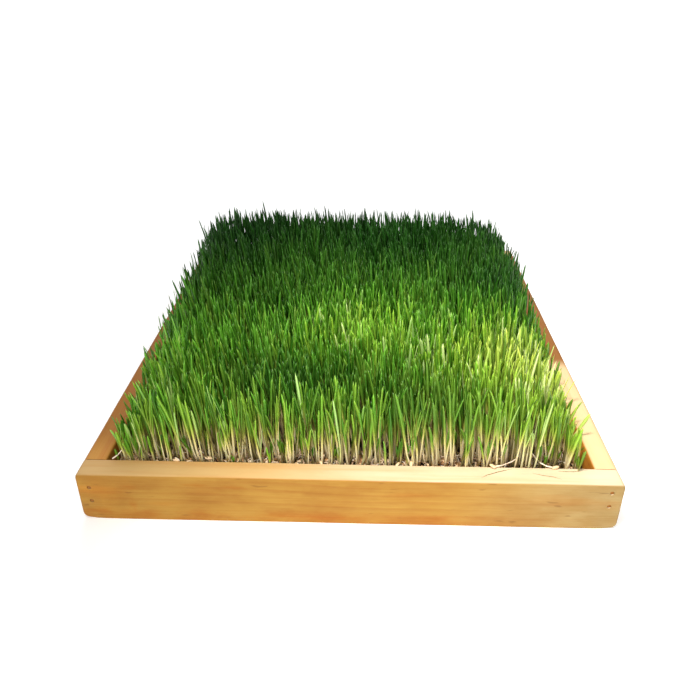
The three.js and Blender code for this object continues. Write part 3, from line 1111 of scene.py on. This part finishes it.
def nearness(y):
    """0 at the back rail's inner face, and 1 at the front rail's."""
    return (INNER_Y - y) / (2 * INNER_Y)


def sown_places(rng):
    """Where the plants stand: a staggered grid, jittered until no row shows."""
    across = np.arange(-INNER_X + WALL_MARGIN, INNER_X - WALL_MARGIN, PLANT_PITCH)
    deep = np.arange(-INNER_Y + WALL_MARGIN, INNER_Y - WALL_MARGIN, PLANT_PITCH * 0.9)
    x, y = np.meshgrid(across, deep)
    x = x + (np.arange(len(deep)) % 2)[:, None] * PLANT_PITCH / 2
    x, y = [grid.ravel() + rng.normal(0, SOWING_SPREAD, grid.size) for grid in (x, y)]
    keep = rng.random(len(x)) > MISSING_SHARE
    bare = WALL_MARGIN + FRONT_RIGHT_MARGIN * eased((nearness(y) - 0.7) / 0.3) * (x > 0)
    keep &= np.abs(x) < INNER_X - bare
    keep &= np.abs(y) < INNER_Y - WALL_MARGIN
    return x[keep], y[keep]


def sward_level(x, y):
    """The tips' mean height above the rim. The sward slopes down to its sides near the front."""
    near = nearness(y)
    stops = np.linspace(0, 1, len(LEFT_EDGE_TIPS))
    at_left = np.interp(near, stops, LEFT_EDGE_TIPS)
    at_right = np.interp(near, stops, RIGHT_EDGE_TIPS)
    at_edge = np.where(x < 0, at_left, at_right)
    inside = TIP_ABOVE_RIM + BACK_RISE * (1 - near)
    slope = EDGE_SLOPE * (0.5 + 0.5 * eased((near - 0.22) / 0.62))
    level = at_edge + (inside - at_edge) * eased((INNER_X - np.abs(x)) / slope) ** 0.8
    return level - BACK_RIGHT_DROP * eased((x - 0.08) / 0.14) * (1 - eased(near / 0.4))


def tip_above_rim(x, y, rng):
    """How far each tip stands above the rim: some plants came up late, and a few early."""
    near = nearness(y)
    level = sward_level(x, y)
    swell = SWELL * smooth_field(x, y, 14, 3.0)
    uneven = 0.4 + 0.6 * eased(near / 0.12)
    spread = rng.normal(0, HEIGHT_SPREAD, len(x)) * level * uneven
    first_row = near > FIRST_ROW
    is_late = rng.random(len(x)) < np.where(first_row, *LATE_SHARE)
    shortfall = rng.uniform(LEAST_SHORTFALL, np.where(first_row, *MOST_SHORTFALL))
    height = level + swell + spread - is_late * shortfall * level * uneven
    is_early = (rng.random(len(x)) < EARLY_SHARE) & (near < EARLY_NEARNESS)
    is_early &= np.abs(x) < INNER_X - EARLY_MARGIN
    height = np.where(is_early, TALLEST_ABOVE_RIM - rng.uniform(0, 10, len(x)) * MM, height)
    return np.clip(height, SHORTEST_ABOVE_RIM, TALLEST_ABOVE_RIM)


# Stretches of the sward painted paler, as patches of light, and deeper, as patches of shade: X and Y
# of the middle, how far each reaches along X and Y, and by how much.
PAINTED_LIGHT_STRETCHES = [
    (0.175, -0.150, 0.075, 0.075, 0.60),
    (0.205, -0.235, 0.060, 0.055, 0.12),
    (0.005, -0.085, 0.055, 0.055, 0.48),
    (0.000, -0.240, 0.065, 0.030, 0.18),
    (0.100, -0.090, 0.060, 0.045, 0.03),
    (-0.050, -0.197, 0.110, 0.038, -0.35),
    (0.080, -0.230, 0.060, 0.035, -0.24),
    (0.100, -0.165, 0.050, 0.040, 0.10),
    (-0.120, -0.060, 0.070, 0.080, -0.06),
    (-0.165, -0.190, 0.050, 0.060, 0.18),
    (-0.160, -0.245, 0.065, 0.030, 0.05),
    (0.175, 0.010, 0.060, 0.050, -0.16),
    (-0.060, -0.040, 0.050, 0.040, -0.12),
    (-0.075, -0.255, 0.055, 0.025, 0.14),
]


def painted_light_share(x, y):
    """From 0, deep green in painted shade at the back, to 1, pale green in painted light by the right
    rail.
    """
    pale = 0.42 * eased((nearness(y) - 0.10) * 1.25) + 0.06 * smooth_field(x, y, 9, 21.0)
    for middle_x, middle_y, reach_x, reach_y, amount in PAINTED_LIGHT_STRETCHES:
        away = ((x - middle_x) / reach_x) ** 2 + ((y - middle_y) / reach_y) ** 2
        pale += amount * np.exp(-away)
    return pale.clip(0, 1)


def sown_shoots(rng):
    """Every plant's shoot, and its tone, hue and painted light and shade."""
    x, y = sown_places(rng)
    count = len(x)
    height = tip_above_rim(x, y, rng) + RIM - STALK_ROOT
    outward = x / INNER_X
    near = nearness(y)
    mean_lean = np.interp(outward, np.linspace(-1, 1, len(MEAN_LEAN)), MEAN_LEAN)
    mean_lean += FRONT_RIGHT_LEAN * eased(2 * outward - 1) * eased((near - 0.70) / 0.15)
    lean_x = np.radians(mean_lean + rng.normal(0, LEAN_SPREAD_X, count))
    strays = (x > INNER_X - STRAY_BAND) & (y < STRAY_Y) & (rng.random(count) < STRAY_SHARE)
    lean_x = lean_x + strays * np.radians(rng.uniform(*STRAY_LEAN, count))
    lean_y = np.radians(rng.normal(MEAN_LEAN_Y, LEAN_SPREAD_Y, count))
    tilt = np.hypot(lean_x, lean_y)
    bend = np.radians(np.abs(rng.normal(0, BEND_SPREAD, count)))
    shoots = Stalks(
        root=np.stack([x, y, np.full(count, STALK_ROOT)], 1),
        heading=np.arctan2(lean_y, lean_x),
        length=height / np.cos(tilt + bend * 0.4),
        tilt=tilt,
        bend=bend,
        kink=np.radians(rng.normal(0, KINK_SPREAD, count)),
        facing=rng.uniform(0, 2 * math.pi, count),
        twist=rng.normal(0, TWIST_SPREAD, count),
        girth=rng.normal(GIRTH, GIRTH_SPREAD, count).clip(0.7, 1.5),
    )
    tone = (rng.beta(1.5, 1.5, count) + 0.25 * smooth_field(x, y, 18, 9.0)).clip(0, 1)
    # Painted light: plants at the front and towards the front right get a lower hue, which turns them
    # golden and pale further up, as where the light is strongest.
    painted_light_yellowing = 0.45 * eased((near - 0.65) / 0.35)
    painted_light_yellowing += 0.65 * eased(outward) * eased((near - 0.5) / 0.3)
    hue = (rng.random(count) - painted_light_yellowing).clip(0, 1)
    return shoots, {"tone": tone, "hue": hue, "pale": painted_light_share(x, y)}


def second_leaves(shoots, rng):
    """Which shoots have a second leaf, the share of their length it starts at, and the leaves."""
    count = len(shoots.root)
    has_leaf = rng.random(count) < LEAFY_SHARE
    start = rng.uniform(*LEAF_START, count)
    leaves = Stalks(
        root=shoots.root + spine(shoots, start[:, None])[0][:, 0],
        heading=rng.uniform(0, 2 * math.pi, count),
        length=shoots.length * np.minimum(rng.uniform(*LEAF_LENGTH, count), 0.98 - start),
        tilt=np.radians(rng.uniform(3, 9, count)),
        bend=np.radians(rng.uniform(0, 12, count)),
        kink=np.zeros(count),
        facing=shoots.facing + 1.3,
        twist=shoots.twist,
        girth=shoots.girth,
    )
    return has_leaf, start, leaves


def bake_places(template, cell, cells, along):
    """Each stalk's place on the bake map, in its plant's own square cell."""
    across = template.points[:, 0] / np.abs(template.points[:, 0]).max()
    u = (cell % cells)[:, None] + 0.5 + 0.36 * across
    v = (cell // cells)[:, None] + 0.06 + 0.88 * along
    return {"u": u / cells, "v": v / cells}


def make_grass():
    rng = np.random.default_rng(SEED)
    shoots, colours = sown_shoots(rng)
    has_leaf, leaf_start, leaves = second_leaves(shoots, rng)
    shoot_start = np.zeros(len(has_leaf))
    shoot, leaf = shoot_shape(), second_leaf_shape()
    material = wheat_leaf()
    row_share = (shoots.root[:, 1] + INNER_Y) / (2 * INNER_Y)
    row_of = (row_share * PATCH_ROWS).astype(int).clip(0, PATCH_ROWS - 1)
    for row in range(PATCH_ROWS):
        in_row = np.flatnonzero(row_of == row)
        cells = math.ceil(math.sqrt(len(in_row)))
        cell_of = np.arange(len(in_row))
        leafy = has_leaf[in_row]
        copies = Copies()
        for template, stalks, starts, chosen, cell in (
            (shoot, shoots, shoot_start, in_row, cell_of),
            (leaf, leaves, leaf_start, in_row[leafy], cell_of[leafy]),
        ):
            start = starts[chosen, None]
            along = start + (1 - start) * template.points[:, 2]
            spots = bake_places(template, cell, cells, along)
            looks = {key: np.repeat(value[chosen], along.shape[1]) for key, value in colours.items()}
            copies.add(template, grown(template, stalks.picked(chosen)), along=along, **spots, **looks)
        patches = [f"grass_patch_r{row + 1}_c{column + 1}" for column in range(PATCH_COLUMNS)]
        settle(copies.object(f"grass_row_{row + 1}"), material, "grass", *patches)


# ---- Grains, crumbs and roots ----------------------------------------------------------------

GRAIN_COUNT = 2300
CRUMB_COUNT = 2000
ROOTLET_COUNT = 900
RIM_GRAIN_SIZE = 1.1
RIM_ROOT_GIRTH = 1.7
STREWN_MARGIN = 3 * MM
# The band along the rails in which most small things lie, in millimetres from them.
STREWN_BAND = (2, 34)
ROOT_CLEARANCE = 0.5 * MM

# Sprouted grains that lie on the front rail's inner edge or were lifted among the stalks.
RIM_GRAINS = [
    (0.1835, -0.2590, RIM + 1.5 * MM),
    (0.1280, -0.2588, RIM + 1.5 * MM),
    (0.0440, -0.2560, RIM - 1.0 * MM),
    (0.0560, -0.2548, RIM - 1.5 * MM),
    (-0.0250, -0.2550, RIM - 1.5 * MM),
    (-0.1270, -0.2520, RIM - 1.0 * MM),
    (-0.1555, -0.2565, RIM - 0.5 * MM),
]

# White roots that lie over the front rail's inner edge: the points along each one.
RIM_ROOTS = [
    [
        (0.1815, -0.2588, 0.0512),
        (0.1765, -0.2572, 0.0510),
        (0.1710, -0.2525, 0.0514),
        (0.1668, -0.2460, 0.0535),
        (0.1630, -0.2400, 0.0580),
    ],
    [
        (0.1300, -0.2588, 0.0511),
        (0.1345, -0.2580, 0.0511),
        (0.1415, -0.2548, 0.0516),
        (0.1490, -0.2510, 0.0524),
        (0.1545, -0.2450, 0.0550),
    ],
    [
        (-0.2130, -0.2576, 0.0506),
        (-0.2110, -0.2556, 0.0512),
        (-0.2085, -0.2535, 0.0526),
        (-0.2060, -0.2515, 0.0548),
        (-0.2040, -0.2500, 0.0580),
    ],
    [
        (-0.1570, -0.2540, 0.0500),
        (-0.1555, -0.2552, 0.0508),
        (-0.1540, -0.2564, 0.0510),
        (-0.1528, -0.2575, 0.0508),
        (-0.1515, -0.2590, 0.0505),
    ],
]


def strewn_places(rng, count, edge_share):
    """Places over the soil. A share of them keeps to a band along the rails, where they show."""
    x = rng.uniform(-1, 1, count) * (INNER_X - STREWN_MARGIN)
    y = rng.uniform(-1, 1, count) * (INNER_Y - STREWN_MARGIN)
    in_band = rng.random(count) < edge_share
    inset = rng.uniform(*STREWN_BAND, count) * MM
    at_front = rng.random(count) < 0.6
    side = np.where(rng.random(count) < 0.5, -1, 1)
    x = np.where(in_band & ~at_front, side * (INNER_X - inset), x)
    y = np.where(in_band & at_front, -INNER_Y + inset, y)
    return x, y


def wheat_grain():
    """A grain of wheat, 6.4 mm long, with a crease along its belly."""
    bm = bmesh.new()
    bmesh.ops.create_uvsphere(bm, u_segments=6, v_segments=5, radius=1)
    bmesh.ops.scale(bm, verts=bm.verts, vec=(1.55, 1.4, 3.2))
    for vert in bm.verts:
        if vert.co.y < -1:
            vert.co.y *= 0.6
        vert.co.x *= 1 - 0.06 * vert.co.z
    return Template(bm)


def random_turns(rng, count, dip_spread):
    """Turns that lay a shape's Z axis nearly level, as things lie on soil."""
    about = rng.uniform(0, 2 * math.pi, count)
    dip = math.pi / 2 + rng.normal(0, dip_spread, count)
    roll = rng.uniform(0, 2 * math.pi, count)
    return np.array(
        [
            Matrix.Rotation(a, 3, "Z") @ Matrix.Rotation(b, 3, "Y") @ Matrix.Rotation(c, 3, "Z")
            for a, b, c in zip(about, dip, roll)
        ]
    )


def lying(template, turns, sizes, places):
    """Every copy's vertices, for shapes that are turned, sized and put in their places."""
    points = np.einsum("nij,vj->nvi", turns, template.points) * sizes[:, None, None]
    return points + places[:, None, :]


def make_seeds():
    rng = np.random.default_rng(SEED + 1)
    grain = wheat_grain()
    x, y = strewn_places(rng, GRAIN_COUNT, edge_share=0.7)
    z = soil_heights(x, y) + rng.uniform(0.3, 1.6, GRAIN_COUNT) * MM
    turns = random_turns(rng, GRAIN_COUNT, dip_spread=0.35)
    sizes = rng.uniform(0.85, 1.1, GRAIN_COUNT) * MM
    tones = np.repeat(rng.random(GRAIN_COUNT), len(grain.points))
    copies = Copies()
    copies.add(grain, lying(grain, turns, sizes, np.stack([x, y, z], 1)), tone=tones)
    places = np.array(RIM_GRAINS)
    turns = random_turns(rng, len(places), dip_spread=0.2)
    sizes = np.full(len(places), RIM_GRAIN_SIZE * MM)
    tones = np.full(len(places) * len(grain.points), 0.75)
    copies.add(grain, lying(grain, turns, sizes, places), tone=tones)
    seeds = copies.object("sprouted_grain")
    settle(seeds, grain_coat(), "seeds_and_roots", "seed_and_root_layer")


def make_crumbs(material):
    rng = np.random.default_rng(SEED + 2)
    bm = bmesh.new()
    bmesh.ops.create_icosphere(bm, subdivisions=1, radius=1)
    crumb = Template(bm)
    x, y = strewn_places(rng, CRUMB_COUNT, edge_share=0.75)
    size = rng.uniform(0.5, 2.1, CRUMB_COUNT) * MM
    lumps = rng.uniform(0.65, 1.2, (CRUMB_COUNT, len(crumb.points), 1))
    points = crumb.points[None] * lumps * size[:, None, None]
    points += np.stack([x, y, soil_heights(x, y) + 0.3 * size], 1)[:, None, :]
    copies = Copies()
    copies.add(crumb, points)
    settle(copies.object("soil_crumbs"), material, "soil", "soil_bed")


def rootlet_shape():
    girths = (0.50, 0.46, 0.42, 0.36, 0.28, 0.10)
    return stalk_template(*[(index / 5, girth, girth, 0) for index, girth in enumerate(girths)])


def bent_along(template, path, girth):
    """One copy of a stalk whose middle line follows a path."""
    path = np.array(path)
    walked = np.append(0, np.cumsum(np.linalg.norm(np.diff(path, axis=0), axis=1)))
    at = template.points[:, 2] * walked[-1]

    def place(distance):
        return np.stack([np.interp(distance, walked, path[:, axis]) for axis in range(3)], 1)

    tangent = place(at + 2 * MM) - place(at - 2 * MM)
    side = np.cross(tangent, UPWARD)
    side /= np.linalg.norm(side, axis=1, keepdims=True)
    front = np.cross(side, tangent)
    front /= np.linalg.norm(front, axis=1, keepdims=True)
    wide = template.points[:, :1] * side + template.points[:, 1:2] * front
    return (place(at) + girth * MM * wide)[None]


def make_roots():
    rng = np.random.default_rng(SEED + 3)
    count = ROOTLET_COUNT
    rootlet = rootlet_shape()
    x, y = strewn_places(rng, count, edge_share=0.85)
    rootlets = Stalks(
        root=np.stack([x, y, soil_heights(x, y)], 1),
        heading=rng.uniform(0, 2 * math.pi, count),
        length=rng.uniform(6, 17, count) * MM,
        tilt=np.radians(rng.uniform(10, 60, count)),
        bend=np.radians(rng.uniform(50, 120, count)),
        kink=np.zeros(count),
        facing=rng.uniform(0, 2 * math.pi, count),
        twist=np.zeros(count),
        girth=rng.uniform(0.8, 1.5, count),
    )
    points = grown(rootlet, rootlets)
    for axis, inner in enumerate((INNER_X, INNER_Y)):
        reach = inner - ROOT_CLEARANCE
        points[:, :, axis] = points[:, :, axis].clip(-reach, reach)
    copies = Copies()
    copies.add(rootlet, points, tone=np.repeat(rng.random(count), len(rootlet.points)))
    tones = np.full(len(rootlet.points), 0.6)
    for path in RIM_ROOTS:
        copies.add(rootlet, bent_along(rootlet, path, RIM_ROOT_GIRTH), tone=tones)
    roots = copies.object("bare_roots")
    settle(roots, root_skin(), "seeds_and_roots", "seed_and_root_layer")


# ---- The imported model's own pieces -----------------------------------------------------------


def dress_packed_pieces():
    steel = nail_steel()
    for name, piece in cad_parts.items():
        if name.startswith(("nail_", "panel_pin_")):
            dress(piece, steel)
    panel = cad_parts["bottom_panel"]
    dress(panel, plywood())


bpy.context.scene.view_settings.view_transform = "Standard"
make_camera()
make_lights()
make_floor()
dress_packed_pieces()
make_rails()
soil_material = damp_soil()
make_soil(soil_material)
make_seeds()
make_crumbs(soil_material)
make_roots()
make_grass()
